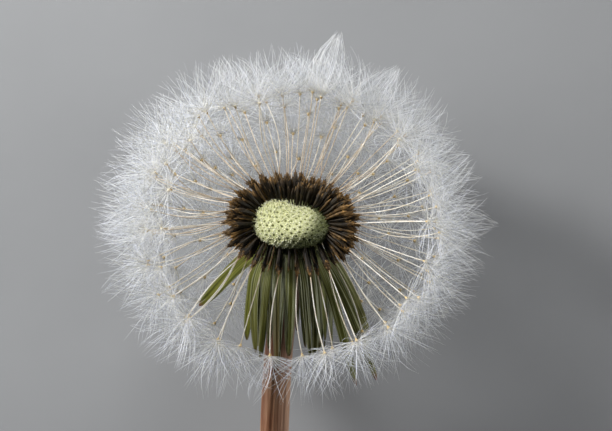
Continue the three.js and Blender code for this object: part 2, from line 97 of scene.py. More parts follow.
STEM_LEAN = {"reach": 2.8, "from": 5, "over": 15}
OBSTACLE_STEP = 6
STRAY_BRACTS = [(-95, 10.4, 46, 1.9), (97, 13.5, 24, 1.5), (75, 17.8, 22, 1.4), (58, 17, 17, 1.3)]
GOLDEN_ANGLE = math.pi * (3 - math.sqrt(5))

# The number of the draw for each use, so that no two share one
DRAW = {
    "seed_lean": 1, "seed_bearing": 2, "bare_edge": 3, "achene_length": 4, "beak_length": 5,
    "bract_bearing": 11, "bract_length": 12, "bract_splay": 13,
    "inner_bearing": 21, "inner_length": 22, "inner_splay": 23,
    "strap_width": 24, "wave_count": 25, "wave_start": 26, "strap_twist": 27, "strap_bright": 29,
    "strap_brown": 30, "strap_sway": 31, "strap_taper": 32, "strap_ribs": 33, "strap_cup": 34,
}

# Finer detail, in millimetres
FRONT_SEEDS = [(153, -14), (152, -36), (155, 8)]
FRONT_APART = math.radians(5)
SEED_GAP = 0.1
FINE_COUNT = 900
FINE_END = math.radians(160)
FINE_APART = math.radians(9.3)
HUSK_COUNT = 2600
HUSK_APART = math.radians(3.9)
HUSK_LENGTH = (0.45, 0.95)
HUSK_STEPS = 8
HUSK_SIDES = 7
SPINE_COUNT = 18
SPINE_LENGTH = 0.3
BRACT_CLEAR = 0.3
ACHENE_FINE_WIDTH = 0.32
STEM_FINE_SIDES = 96
STEM_FINE_STEPS = 150
STEM_RIDGES = {"count": 9, "turn": 0.02, "height": 0.022}
STEM_GROOVES = {"count": 22, "start": 1.3, "turn": 0.9, "over": 9, "height": 0.012}
STEM_SWELL = {"size": 0.03, "over": 7}
STEM_PALE = {"side": 0.35, "edge": 0.45}
PIT_COUNT = 380
PIT_RADIUS = 0.17
PIT_SINK = 0.16
PIT_RIM = 1.25 * PIT_RADIUS
RIM_HEIGHT = 0.05
CORNER_HEIGHT = 0.09
CORNER_REACH = 0.16
PIT_SCATTER = 0.018
PIT_SHARPNESS = 1.5
PAD_SLICES = 400
# How light the skin is by its relief, and how much painted shade darkens it by its place
RELIEF_TONE = {"base": 0.34, "corner": 0.34, "rim": 0.14, "pit": 0.5}
PAINTED_SHADE = {"base": 0.3, "right": 1.9, "low": 1.2, "dimple": 0.5, "seeded": 0.75}
SEEDED = {"from": 0.85, "steep": 4}
PAD_DIVISIONS = 7
PAPILLA_HEIGHT = 0.17
PAPILLA_RADIUS = 0.085
PAPILLA_SIDES = 5
PAPILLA_TALLNESS = (0.5, 1.4)
PAPILLA_THICKNESS = (0.5, 1.3)
PAPILLA_PAINTED_SHADE = 0.95
PAPILLA_SCATTER = 0.06
PAPILLA_LEAN = 0.22
PAPILLA_REACH = 1.25
PAPILLA_TALL_REACH = 1.1
PAPILLA_SHORT = 0.3
PAPILLA_CREST = {"from": 0.35, "more": 1.4}
# Share of its height, width and tone up a papilla
PAPILLA_OUTLINE = [(-0.4, 1.25, 0.45), (0.25, 1.0, 0.75), (0.7, 0.66, 0.95), (1.0, 0.22, 1.0)]
BRACT_STEPS = 28
BRACT_SIDES = 22
BRACT_INNER_COUNT = 36
BRACT_WAVES = {"count": 4, "count_waver": 2, "start": 3, "depth": 0.22, "sideways": 0.6}
BRACT_SETTLE = 4
# A strap that lies along the stem, and one that strays from it
STRAP = {
    "taper": (2.2, 4), "cup": (0.1, 0.4), "sway": 0.5, "twist": 0.6, "width_waver": 0.2,
    "facing": 0.4, "layer": 0.2, "edge": 0.85, "tip": 0.4,
}
STRAY = {
    "taper": (4, 4), "cup": (0.1, 0.1), "sway": 0, "twist": 0.2, "width_waver": 0.04,
    "facing": 0.9, "layer": 0, "edge": 0.25, "tip": 0.9,
}
STRAY_SPLAY = math.radians(15)
BRACT_NARROW = {"root": 0.72, "tip": 0.985}
BRACT_RIBS = {"count": (9, 17), "height": 0.035, "widest": 0.4, "depth": 2.2}
BRACT_THIN_EDGE = 0.75
BRACT_EDGE = {"steep": 2.4, "from": 1.7}
BRACT_TIP = {"from": 0.93, "over": 0.07}
BRACT_BROWNING = {"steep": 1.6, "from": 0.3}
# Bearings between which straps are bright and brighter than most, as painted light on the lamp side, and
# brown
BRIGHT_SIDE = (-140, -75)
BRIGHTER_SIDE = (-75, -35)
BROWN_SIDE = (-30, -4)
COLLAR_WOBBLE = 0.025
COLLAR_BRIGHT = 0.3
INNER = {"length": 0.94, "length_waver": 0.16, "bearing_waver": 4, "splay": 1, "splay_waver": 3}
INNER_SHIFT = -0.45
INNER_SIZE = 0.85
BRACT_FINE_THICKNESS = 0.14
# How far apart in the noise two straps are, so that their veins differ
STRAP_APART = 7.3
COLLAR_PROFILE = [(2.1, -2.75), (3.3, -2.9), (3.35, -3.5), (2.95, -4.3), (2.7, -4.9), (2.1, -4.9)]
COLLAR_SIDES = 180
ACHENE_STEPS = 18
ACHENE_SIDES = 15
ACHENE_OUTLINE = [(0, 0.13), (0.15, 0.19), (0.4, 0.27), (0.62, 0.31), (0.78, 0.28), (0.88, 0.17), (1, 0.06)]
ACHENE_FINE_SIZE = 0.78
ACHENE_SIZE_WAVER = 0.06
ACHENE_BEND = 0.12
ACHENE_RIBS = 5
ACHENE_RIB_HEIGHT = 0.14
TOOTH_HEIGHT = 0.4
HUSK_SIZE = (0.4, 0.75)
TOOTHED = {"from": 0.5, "in": 0.15, "to": 0.93, "out": 0.06}
WARM_TIP = {"steep": 3, "from": 2.1, "least": 0.3, "more": 0.7}
WARM_ALL = {"above": 0.85, "more": 0.35}
SPINE_SPAN = (0.66, 0.9)
SPINE_LEAN = (0.25, 0.75)
SPINE_UNEVEN = (0.6, 1.4)
SPINE_WARM = (0.35, 1)
SPINE_SINK = 0.8
SPINE_OUTLINE = (0.06, 0.04, 0.008)
SPINE_SIDES = 4
BEAK_STEPS = 14
BEAK_SIDES = 6
BEAK_RADIUS = 0.068
BEAK_BOW = {"any": 0.3, "down": 0.28, "size": (0.4, 1.7)}
BEAK_LIT = {"base": 0.3, "side": 0.5, "most": 0.7}
BEAK_WHITE = {"least": 0.3, "more": 0.5, "tan_for": 5, "along": 0.3}
BEAK_OUTLINE = {"start": 0.72, "full_by": 3, "flare": 0.3, "flare_over": 14}
HUB_OUTLINE = [(-0.25, 0.07), (-0.1, 0.11), (0.05, 0.2), (0.16, 0.22), (0.26, 0.15), (0.29, 0.04)]
HUB_SIDES = 12
HUB_TOP = 0.15
HUB_SHOULDER = 0.12
HAIR_COUNT = 58
HAIR_STEPS = 6
HAIR_RADIUS = 0.026
HAIR_TAPER = (0.55, 0.9, 1.0, 0.85, 0.6, 0.2)
HAIR_UNEVEN = (0.6, 1.4)
HAIR_NARROW = math.radians(8)
HAIR_WIDE = math.radians(90)
HAIR_OPENING = math.radians(22)
WISPS = (74, 60)
WISP_APART = 4.5
WISP = {"level": 0.4, "wide": 0.5, "aim": 4, "gather": 0.95, "longer": 0.12}
HAIR_CROWDING = 0.65
HAIR_SIDES = 3
HAIR_STRAY = 0.12
HAIR_SPREAD_STRAY = 0.06
HAIR_REACH = {"mean": 0.97, "seed_waver": 0.05, "spread": (0.9, 1.04)}
HAIR_BEND = 0.0336
OPEN_FROM = 1.9
TUFT_WIDE = 0.9
UNGATHERED = 0.3
HAIR_PIECES = 4
TUFTS = 5
TUFT_GATHER = (0.25, 1.0)
FLAME = 1.6
RANDOM = np.random.default_rng(7)

# Studio: places are millimetres from the head's middle
CAMERA_PLACE = (1.8, 0.8, 204)
LENS_LENGTH = 100
SENSOR_WIDTH = 36
CLIP = (0.01, 5)
FLOOR_SIZE = 1500
LIGHTS = [
    ("key", (-210, 150, 130), 60, 0.9),
    ("left", (-260, 20, 50), 80, 0.5),
    ("right", (260, 0, 35), 80, 0.45),
    ("top", (30, 260, 55), 80, 0.5),
]
WORLD_STRENGTH = 0.05
WORLD_COLOUR = (0.8, 0.85, 1, 1)

# Where the head's middle is, from the stem's solid
stem_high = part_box("stem")[1] / MM
HEAD_X = stem_high.x - STEM_RADIUS * math.cos(math.pi / STEM_SIDES)
STEM_FLAT_RADIUS = STEM_RADIUS * math.cos(math.pi / STEM_SIDES)
BEND_DROP = HEAD_HEIGHT - STEM_FLAT_RADIUS - STEM_STRAIGHT * math.sin(TILT)
BEND_RADIUS = BEND_DROP / (1 - math.cos(TILT))
STEM_END = STEM_STRAIGHT + BEND_RADIUS * TILT + STEM_FLAT
STEM_REACH = STEM_STRAIGHT * math.cos(TILT) + BEND_RADIUS * math.sin(TILT) + STEM_FLAT
HEAD_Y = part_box("stem")[0].y / MM + STEM_REACH
HEAD = np.array([HEAD_X, HEAD_Y, HEAD_HEIGHT])


def to_world(points):
    """Plant frame in millimetres to the part's frame in metres."""
    x, y, z = np.moveaxis(np.asarray(points, float), -1, 0)
    rise, level = math.sin(TILT), math.cos(TILT)
    laid = np.stack([x, y * rise + z * level, -y * level + z * rise], -1)
    return (laid + HEAD) * MM


def height_of(points):
    """Millimetres over the surface."""
    return to_world(points)[..., 2] / MM


UP = np.array([0, -math.cos(TILT), math.sin(TILT)])


def unit(v):
    """Vectors made one long."""
    return v / np.linalg.norm(v, axis=-1, keepdims=True)


# The seed rule of the solid frame, repeated so that each fine seed stands where its solid does


def draw(i, use):
    """A repeatable number from 0 to 1 for piece i and a use."""
    wave = math.sin(i * 127.1 + DRAW[use] * 311.7) * 43758.5453
    return wave - math.floor(wave)


def jitter(i, use, size):
    """A repeatable number from -size to size."""
    return (draw(i, use) * 2 - 1) * size


def draw_between(span, i, use):
    """A repeatable number within a span."""
    low, high = span
    return low + (high - low) * draw(i, use)


def direction(from_axis, bearing):
    """A direction by its angle from the plant's axis and its bearing, 0 towards -Y."""
    level = np.sin(from_axis)
    along = np.cos(from_axis) * np.ones_like(bearing)
    return np.stack([level * np.sin(bearing), -level * np.cos(bearing), along], -1)


PAD_AXES = np.array([PAD_RADIUS, PAD_RADIUS, PAD_HEIGHT])


def rise_of(points):
    """How far the receptacle's top is over that of a plain cushion."""

    def bump(place):
        away = np.hypot(points[..., 0] - place["x"], points[..., 1] - place["y"])
        return np.exp(-((away / place["radius"]) ** 2))

    share = np.clip((points[..., 0] - SUNK["from"]) / (SUNK["to"] - SUNK["from"]), 0, 1)
    sunk = SUNK["depth"] * share * share * (3 - 2 * share)
    rise = LOBE["height"] * bump(LOBE) - DIMPLE["depth"] * bump(DIMPLE) - sunk
    return rise * np.clip(points[..., 2] / PAD_HEIGHT, 0, 2)


def shape_pad(points):
    """Points of a plain cushion, moved to where they are on the uneven one."""
    flat = points * [1, 0, 1]
    away = np.hypot(points[..., 0] - HEEL["x"], points[..., 2] - HEEL["z"])
    push = HEEL["push"] * np.exp(-((away / HEEL["radius"]) ** 2))
    shaped = points + flat * (push / (np.linalg.norm(flat, axis=-1) + TINY))[..., None]
    shaped[..., 2] += rise_of(points)
    return shaped


def root_angle(from_axis):
    """The angle at which a seed stands on the receptacle."""
    square = math.atan2(PAD_RADIUS * math.sin(from_axis), PAD_HEIGHT * math.cos(from_axis))
    return (square + ROOT_SHARE * from_axis) / 2


def bare_measure(ways):
    """How far inside the bare side directions lie: under 1 is bare."""
    middle = direction(math.pi / 2 - BARE_TILT, 0.0)
    upward = direction(-BARE_TILT, 0.0)
    ahead = ways @ middle
    safe = np.where(ahead > CLOSE, ahead, CLOSE)
    across = ways[..., 0] / safe / math.tan(BARE_ACROSS)
    along = (ways @ upward) / safe / math.tan(BARE_ALONG)
    return np.where(ahead > CLOSE, np.hypot(across, along), 1 / TINY)


def stem_at(distance):
    """The middle of the stem at a distance down from the head, and its upper side."""
    bend = min(max((distance - STEM_STRAIGHT) / BEND_RADIUS, 0), TILT)
    straight = min(distance, STEM_STRAIGHT)
    after = max(distance - STEM_STRAIGHT - BEND_RADIUS * TILT, 0)
    leaning = max(distance - STEM_LEAN["from"], 0) / STEM_LEAN["over"]
    lean = -STEM_LEAN["reach"] * (1 - math.exp(-leaning))
    across = -BEND_RADIUS * (1 - math.cos(bend)) - after * math.sin(bend)
    down = -straight - BEND_RADIUS * math.sin(bend) - after * math.cos(bend)
    return np.array([lean, across, down]), np.array([0, -math.cos(bend), math.sin(bend)])


def list_bracts():
    """(bearing, length, splay, width) of each bract of the solid frame."""
    found = []
    for i in range(BRACT_COUNT):
        bearing = 360 / BRACT_COUNT * i + jitter(i, "bract_bearing", BRACT_WAVER["bearing"])
        length = BRACT_LENGTH + jitter(i, "bract_length", BRACT_WAVER["length"])
        splay = BRACT_SPLAY + jitter(i, "bract_splay", BRACT_WAVER["splay"])
        width = BRACT_WIDTH
        for stray in STRAY_BRACTS:
            if abs((stray[0] - bearing + 540) % 360 - 180) < 180 / BRACT_COUNT:
                bearing, length, splay, width = stray
                break
        found.append((math.radians(bearing), length, math.radians(splay), width))
    return found


def bract_at(bract, share):
    """A point on a bract's middle line."""
    bearing, length, splay, _ = bract
    drop = share * length
    shoulder = BRACT_ROOT["shoulder"] * (1 - math.exp(-share * BRACT_ROOT["bend"]))
    reach = BRACT_ROOT["reach"] + shoulder + math.sin(splay) * max(drop - 1, 0)
    point = direction(math.pi / 2, bearing) * reach
    point[2] = -BRACT_ROOT["drop"] - drop * math.sqrt(math.cos(splay))
    return point


def gap_between(a, b):
    """Clear space between two round stretches, each (start, end, radius)."""
    a_from, a_to, a_radius = a
    b_from, b_to, b_radius = b
    along_a, along_b, gap = a_to - a_from, b_to - b_from, a_from - b_from
    length_a, length_b = along_a @ along_a, along_b @ along_b
    cross, gap_a, gap_b = along_a @ along_b, along_a @ gap, along_b @ gap
    spread = max(length_a * length_b - cross * cross, TINY)
    on_b = min(max((length_a * gap_b - cross * gap_a) / spread, 0), 1)
    on_a = min(max((cross * on_b - gap_a) / length_a, 0), 1)
    on_b = min(max((cross * on_a + gap_b) / length_b, 0), 1)
    apart = np.linalg.norm(gap + along_a * on_a - along_b * on_b)
    return apart - a_radius - b_radius


def list_obstacles(bracts):
    """The stem and the bracts as round stretches, for the seeds to keep clear of."""
    found = []
    distance = COLLAR_INNER
    while distance < STEM_END:
        after = distance + OBSTACLE_STEP
        found.append((stem_at(distance)[0], stem_at(after)[0], STEM_RADIUS))
        distance = after
    for bract in bracts:
        for k in range(BRACT_STRAIGHTS):
            start, end = (bract_at(bract, step / BRACT_STRAIGHTS) for step in (k, k + 1))
            found.append((start, end, BRACT_CLEAR))
    return found


def seed_at(i, from_axis, bearing):
    """A seed by its way: the places of its foot, tip and hub."""
    way = direction(from_axis, np.float64(bearing))
    turned = bearing + ROOT_TURN * math.sin(bearing)
    plain = direction(root_angle(from_axis), np.float64(turned)) * PAD_AXES
    foot = shape_pad(plain)
    achene = ACHENE_LENGTH + jitter(i, "achene_length", ACHENE_WAVER)
    beak = BEAK_LENGTH + jitter(i, "beak_length", BEAK_WAVER)
    return {"way": way, "foot": foot, "tip": foot + way * achene, "hub": plain + way * (achene + beak)}


def is_clear(seed, achene, obstacles):
    """Whether a seed keeps clear of every obstacle."""
    start = seed["foot"] + seed["way"] * ACHENE_WIDTH
    body = [(start, seed["tip"], achene), (seed["tip"], seed["hub"], HUB_RADIUS)]
    return all(gap_between(part, obstacle) > SEED_GAP for part in body for obstacle in obstacles)


def fill_round(found, count, end, apart, obstacles):
    """Adds seeds on a spiral over the head where there is room, and none on the bare side."""
    for i in range(count):
        share = (i + 0.5) / count
        from_axis = math.acos(1 - share * (1 - math.cos(end))) + jitter(i, "seed_lean", SEED_WAVER)
        bearing = i * GOLDEN_ANGLE + jitter(i, "seed_bearing", SEED_WAVER) / math.sin(from_axis)
        seed = seed_at(i, from_axis, bearing)
        nearest = max((seed["way"] @ other["way"] for other in found), default=-1)
        if nearest > math.cos(apart):
            continue
        if bare_measure(seed["way"]) < 1 + jitter(i, "bare_edge", BARE_JITTER):
            continue
        if is_clear(seed, ACHENE_FINE_WIDTH, obstacles):
            found.append(seed)


def list_seeds(obstacles):
    """The solid frame's seeds and more in their gaps, and the thin husks between them."""
    found = []
    for i, (from_axis, bearing) in enumerate(FRONT_SEEDS):
        found.append(seed_at(i, math.radians(from_axis), math.radians(bearing)))
    fill_round(found, SEED_COUNT, SEED_END, FRONT_APART, obstacles)
    fill_round(found, FINE_COUNT, FINE_END, FINE_APART, obstacles)
    seeds = len(found)
    fill_round(found, HUSK_COUNT, SEED_END, HUSK_APART, obstacles)
    return found[:seeds], found[seeds:]


# Mesh makers

# A way that no tube runs along, from which the corners of its rings are counted
SIDEWAYS = np.array([0.36, 0.48, 0.8])


def loft_faces(shape, closed):
    """Blocks of corners over tubes of a shape (tubes, rings, sides), capped unless closed."""
    tubes, rings, sides = shape
    first = np.arange(tubes)[:, None, None] * rings * sides
    ring = np.arange(rings if closed else rings - 1)[None, :, None]
    side = np.arange(sides)[None, None, :]
    here, over, after = ring * sides, (ring + 1) % rings * sides, (side + 1) % sides
    quads = [here + side, here + after, over + after, over + side]
    blocks = [np.stack([first + corner for corner in quads], -1).reshape(-1, 4)]
    if not closed:
        start = first[:, 0] + np.arange(sides)[::-1]
        blocks += [start, first[:, 0] + (rings - 1) * sides + np.arange(sides)]
    return blocks


def tube_rings(paths, radii, sides):
    """Round rings along paths (tubes, rings, 3) with radii (tubes, rings)."""
    along = unit(np.gradient(paths, axis=1))
    aside = unit(np.cross(along, SIDEWAYS) + TINY)
    other = np.cross(along, aside)
    turn = np.arange(sides) / sides * 2 * math.pi
    out = np.cos(turn)[:, None] * aside[:, :, None] + np.sin(turn)[:, None] * other[:, :, None]
    return paths[:, :, None] + out * np.asarray(radii)[..., None, None]


class Piece:
    """One mesh object, gathered from lofts and loose faces in the plant's frame."""

    def __init__(self):
        self.points, self.blocks, self.values, self.count = [], [], {}, 0

    def add(self, points, blocks, **values):
        """Points (n, 3), blocks of corners, and for each name one value or vector a point."""
        self.points.append(points)
        self.blocks += [np.asarray(block) + self.count for block in blocks]
        for name, value in values.items():
            self.values.setdefault(name, []).append(value)
        self.count += len(points)

    def loft(self, rings, closed=False, **values):
        """Tubes over rings (tubes, rings, sides, 3). A value may leave out the last axes."""
        shape = rings.shape[:3]
        full = {}
        for name, value in values.items():
            value = np.asarray(value, float)
            if name == "place":
                full[name] = np.broadcast_to(value, (*shape, 3)).reshape(-1, 3)
                continue
            value = value.reshape(value.shape + (1,) * (3 - value.ndim))
            full[name] = np.broadcast_to(value, shape).ravel()
        self.add(rings.reshape(-1, 3), loft_faces(shape, closed), **full)

    def finish(self, name, material, slot, replaced):
        """Makes the object, riding on the root and standing for a CAD node."""
        mesh = bpy.data.meshes.new(name)
        points = to_world(np.concatenate(self.points))
        sizes = np.concatenate([np.full(len(block), block.shape[1]) for block in self.blocks])
        corners = np.concatenate([block.ravel() for block in self.blocks])
        mesh.vertices.add(len(points))
        mesh.vertices.foreach_set("co", points.ravel())
        mesh.loops.add(len(corners))
        mesh.loops.foreach_set("vertex_index", corners.astype(np.int32))
        mesh.polygons.add(len(sizes))
        mesh.polygons.foreach_set("loop_start", (np.cumsum(sizes) - sizes).astype(np.int32))
        mesh.polygons.foreach_set("use_smooth", np.ones(len(sizes), bool))
        for key, value in self.values.items():
            value = np.concatenate(value).astype(np.float32)
            if value.ndim == 2:
                layer = mesh.attributes.new(key, "FLOAT_VECTOR", "POINT")
                layer.data.foreach_set("vector", value.ravel())
            else:
                layer = mesh.attributes.new(key, "FLOAT", "POINT")
                layer.data.foreach_set("value", value)
        mesh.materials.append(material)
        mesh.update(calc_edges=True)
        mesh.validate()
        piece = bpy.data.objects.new(name, mesh)
        bpy.context.collection.objects.link(piece)
        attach(piece, "root")
        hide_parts(replaced)
        return piece


# Materials


class Shader:
    """A node material on one Principled shader, built a node at a time."""

    def __init__(self, name, roughness, specular=0.5, subsurface=0.0, reach=0.0):
        self.material = bpy.data.materials.new(name)
        self.material.use_nodes = True
        self.tree = self.material.node_tree
        self.surface = self.tree.nodes["Principled BSDF"]
        self.surface.inputs["Roughness"].default_value = roughness
        self.surface.inputs["Specular IOR Level"].default_value = specular
        if subsurface:
            self.surface.inputs["Subsurface Weight"].default_value = subsurface
            self.surface.inputs["Subsurface Radius"].default_value = (1, 0.9, 0.6)
            self.surface.inputs["Subsurface Scale"].default_value = reach * MM

    def node(self, kind, **settings):
        made = self.tree.nodes.new("ShaderNode" + kind)
        for key, value in settings.items():
            setattr(made, key, value)
        return made

    def value(self, name):
        """A value that the mesh carries."""
        return self.node("Attribute", attribute_name=name).outputs["Fac"]

    def noise(self, stretch, detail=3.0):
        """Noise over the mesh's own place, in millimetres, with a scale for each of its ways."""
        place = self.node("Attribute", attribute_name="place").outputs["Vector"]
        mapping = self.node("Mapping")
        mapping.inputs["Scale"].default_value = stretch
        self.tree.links.new(place, mapping.inputs["Vector"])
        made = self.node("TexNoise")
        made.inputs["Scale"].default_value = 1
        made.inputs["Detail"].default_value = detail
        self.tree.links.new(mapping.outputs["Vector"], made.inputs["Vector"])
        return made.outputs["Fac"]

    def ramp(self, source, *stops):
        """Colours at shares of a value."""
        made = self.node("ValToRGB")
        elements = made.color_ramp.elements
        while len(elements) < len(stops):
            elements.new(0.5)
        for element, (share, colour) in zip(elements, stops):
            element.position = share
            element.color = (*colour, 1)
        self.tree.links.new(source, made.inputs["Fac"])
        return made.outputs["Color"]

    def mix(self, share, a, b):
        """Colour a, turning into b with the share. Each is a socket or plain."""
        made = self.node("Mix", data_type="RGBA")
        for source, place in ((share, 0), (a, 6), (b, 7)):
            if isinstance(source, bpy.types.NodeSocket):
                self.tree.links.new(source, made.inputs[place])
            else:
                made.inputs[place].default_value = source if place == 0 else (*source, 1)
        return made.outputs[2]

    def finish(self, colour, height=None, depth=0.0):
        """Sets the colour, and a bump of a depth in millimetres."""
        self.tree.links.new(colour, self.surface.inputs["Base Color"])
        if height is not None:
            bump = self.node("Bump")
            bump.inputs["Distance"].default_value = depth * MM
            self.tree.links.new(height, bump.inputs["Height"])
            self.tree.links.new(bump.outputs["Normal"], self.surface.inputs["Normal"])
        return self.material


def stem_material():
    """Reddish-brown skin with fine lengthwise streaks, paler tan along one side, pale green where it is cut.
    """
    s = Shader("stem_skin", 0.5, subsurface=0.1, reach=0.4)
    streak = s.noise((2.6, 2.6, 0.12), 4)
    skin = s.ramp(streak, (0.36, (0.1, 0.036, 0.014)), (0.5, (0.2, 0.085, 0.04)), (0.64, (0.34, 0.19, 0.11)))
    patch = s.ramp(s.noise((0.3, 0.3, 0.16), 2), (0.4, (0.17, 0.06, 0.025)), (0.62, (0.3, 0.17, 0.09)))
    # Paler tan along one side of the stem, its right and upper side
    paler_on_one_side = s.mix(s.value("pale"), s.mix(0.4, skin, patch), (0.46, 0.29, 0.19))
    return s.finish(s.mix(s.value("inside"), paler_on_one_side, (0.6, 0.6, 0.36)), streak, 0.06)


def pad_material():
    """Cream papillae over green skin, with dark pits, darkened by painted shade to the right, low down and
    in the dimple, and among the seeds partly by a darker skin.
    """
    s = Shader("receptacle_skin", 0.55, subsurface=0.2, reach=0.3)
    skin = s.ramp(
        s.value("relief"),
        (0.0, (0.15, 0.16, 0.045)),
        (0.25, (0.33, 0.34, 0.13)),
        (0.5, (0.62, 0.63, 0.32)),
        (0.75, (0.86, 0.85, 0.52)),
        (1.0, (0.97, 0.95, 0.68)),
    )
    mottling = s.ramp(s.noise((2.2, 2.2, 2.2)), (0.4, (0, 0, 0)), (0.7, (0.35, 0.35, 0.35)))
    mottled = s.mix(mottling, skin, (0.7, 0.74, 0.42))
    # Painted shade: the skin turns dark green as the shade value rises
    return s.finish(s.mix(s.value("shade"), mottled, (0.1, 0.115, 0.03)), s.noise((7, 7, 7)), 0.03)


def bract_material():
    """Green straps with pale and dark veins lengthwise, some turned brown, those on the left painted
    brighter green as painted light, with faded reddish tips.
    """
    s = Shader("bract_skin", 0.6, specular=0.2, subsurface=0.1, reach=0.3)
    vein = s.noise((6.5, 1, 0.08))
    green = s.ramp(
        vein,
        (0.38, (0.028, 0.03, 0.006)),
        (0.47, (0.1, 0.105, 0.028)),
        (0.53, (0.2, 0.21, 0.09)),
        (0.6, (0.5, 0.52, 0.37)),
    )
    bright = s.ramp(vein, (0.38, (0.09, 0.1, 0.008)), (0.6, (0.25, 0.255, 0.04)))
    brown = s.ramp(vein, (0.38, (0.05, 0.025, 0.006)), (0.6, (0.3, 0.16, 0.05)))
    # The bright green mix is painted light on the left straps and random tone on the others
    leaf = s.mix(s.value("brown"), s.mix(s.value("bright"), green, bright), brown)
    edged = s.mix(s.value("edge"), leaf, (0.46, 0.47, 0.32))
    return s.finish(s.mix(s.value("tip"), edged, (0.22, 0.07, 0.07)), vein, 0.08)


def achene_material():
    """Dark brown ribbed husk, more orange towards its tip."""
    s = Shader("achene_husk", 0.6, specular=0.35)
    blotch = s.noise((2, 2, 2))
    dark = s.ramp(blotch, (0.38, (0.008, 0.005, 0.002)), (0.62, (0.034, 0.022, 0.008)))
    warm = s.ramp(blotch, (0.3, (0.1, 0.048, 0.01)), (0.7, (0.48, 0.27, 0.08)))
    return s.finish(s.mix(s.value("warm"), dark, warm), s.noise((9, 9, 9)), 0.03)


def beak_material():
    """Tan at the seed, cream-white towards the hub, and whiter as painted light on beaks that point towards
    the lamps.
    """
    s = Shader("beak_stalk", 0.4)
    streak = s.noise((1.1, 1.1, 0.5))
    tan = s.ramp(streak, (0.35, (0.34, 0.2, 0.09)), (0.65, (0.74, 0.56, 0.36)))
    cream = s.ramp(streak, (0.35, (0.74, 0.64, 0.48)), (0.65, (0.97, 0.94, 0.86)))
    return s.finish(s.mix(s.value("along"), tan, cream))


def hub_material():
    """Golden-brown knob, paler above."""
    s = Shader("hub_knob", 0.5)
    low = s.ramp(s.noise((4, 4, 4)), (0.3, (0.46, 0.3, 0.1)), (0.7, (0.74, 0.56, 0.28)))
    return s.finish(s.mix(s.value("along"), low, (0.9, 0.86, 0.7)))


def hair_material():
    """Cool silky white, with painted shade turning some strands grey at random."""
    s = Shader("pappus_hair", 0.35, subsurface=0.5, reach=0.3)
    white = s.ramp(s.noise((0.3, 0.3, 0.3), 2), (0.3, (0.72, 0.75, 0.78)), (0.7, (0.92, 0.92, 0.91)))
    # Painted shade: strands with a high value turn grey, standing in for hairs in shadow
    uneven = s.mix(s.value("dull"), white, (0.26, 0.28, 0.31))
    return s.finish(s.mix(s.value("along"), (0.93, 0.9, 0.82), uneven))


def floor_material():
    """Matt grey studio paper."""
    s = Shader("floor_paper", 0.85, specular=0.2)
    cloud = s.noise((0.05, 0.05, 0.05))
    return s.finish(s.ramp(cloud, (0.3, (0.285, 0.29, 0.295)), (0.7, (0.3, 0.305, 0.31))))


# Pieces


def upright(points):
    """Points lifted to the surface where they are under it."""
    return points + UP * np.maximum(-height_of(points), 0)[..., None]


def build_stem():
    """The hollow stem, ridged lengthwise, open at its cut end."""
    turn = np.arange(STEM_FINE_SIDES) / STEM_FINE_SIDES * 2 * math.pi
    distances = np.linspace(STEM_TOP, STEM_END, STEM_FINE_STEPS)
    outer = []
    for distance in distances:
        middle, upper = stem_at(distance)
        ridge = np.cos(STEM_RIDGES["count"] * turn + STEM_RIDGES["turn"] * distance)
        snake = STEM_GROOVES["turn"] * math.sin(distance / STEM_GROOVES["over"])
        groove = np.cos(STEM_GROOVES["count"] * turn + STEM_GROOVES["start"] + snake)
        relief = ridge * STEM_RIDGES["height"] + groove * STEM_GROOVES["height"]
        swell = 1 - STEM_SWELL["size"] * math.sin(distance / STEM_SWELL["over"])
        way = np.cos(turn)[:, None] * np.array([1.0, 0, 0]) + np.sin(turn)[:, None] * upper
        outer.append((middle, way, STEM_RADIUS * (swell + relief)))
    skin = np.array([upright(m + way * radius[:, None]) for m, way, radius in outer])
    bore = np.array([m + way * STEM_BORE for m, way, _ in outer])[::-1]
    rings = np.concatenate([skin, bore])[None]
    run = np.concatenate([distances, distances[::-1]])
    inside = np.concatenate([np.zeros(len(distances)), np.ones(len(distances))])
    place = np.zeros((*rings.shape[:3], 3))
    place[..., 0] = np.cos(turn) * STEM_RADIUS
    place[..., 1] = np.sin(turn) * STEM_RADIUS
    place[..., 2] = run[None, :, None]
    pale = np.clip(np.cos(turn - STEM_PALE["side"]) - STEM_PALE["edge"], 0, 1)
    piece = Piece()
    piece.loft(rings, closed=True, place=place, inside=inside[None], pale=pale[None, None])
    piece.finish("stem_fine", stem_material(), "stem", "stem")


def pad_normal(points):
    """The way straight out of the plain cushion."""
    return unit(points / PAD_AXES**2)


def pit_places():
    """Pits in spirals over the receptacle, evenly by its area, and their angles from the axis."""
    angle = np.linspace(0, math.pi, PAD_SLICES)
    width = np.hypot(PAD_RADIUS * np.cos(angle), PAD_HEIGHT * np.sin(angle))
    area = np.cumsum(np.sin(angle) * width)
    share = (np.arange(PIT_COUNT) + 0.5) / PIT_COUNT
    angles = np.interp(share, area / area[-1], angle)
    angles = angles + RANDOM.normal(0, PIT_SCATTER, PIT_COUNT)
    bearings = np.arange(PIT_COUNT) * GOLDEN_ANGLE + RANDOM.normal(0, PIT_SCATTER, PIT_COUNT)
    return direction(angles, bearings) * PAD_AXES, angles, bearings


def find_corners(angles, bearings):
    """The middles of the triangles between neighbouring pits."""
    flat = [(a * math.cos(b), a * math.sin(b)) for a, b in zip(angles, bearings)]
    found = delaunay_2d_cdt([Vector(point) for point in flat], [], [], 0, CLOSE)
    return np.array([face for face in found[2] if len(face) == 3])


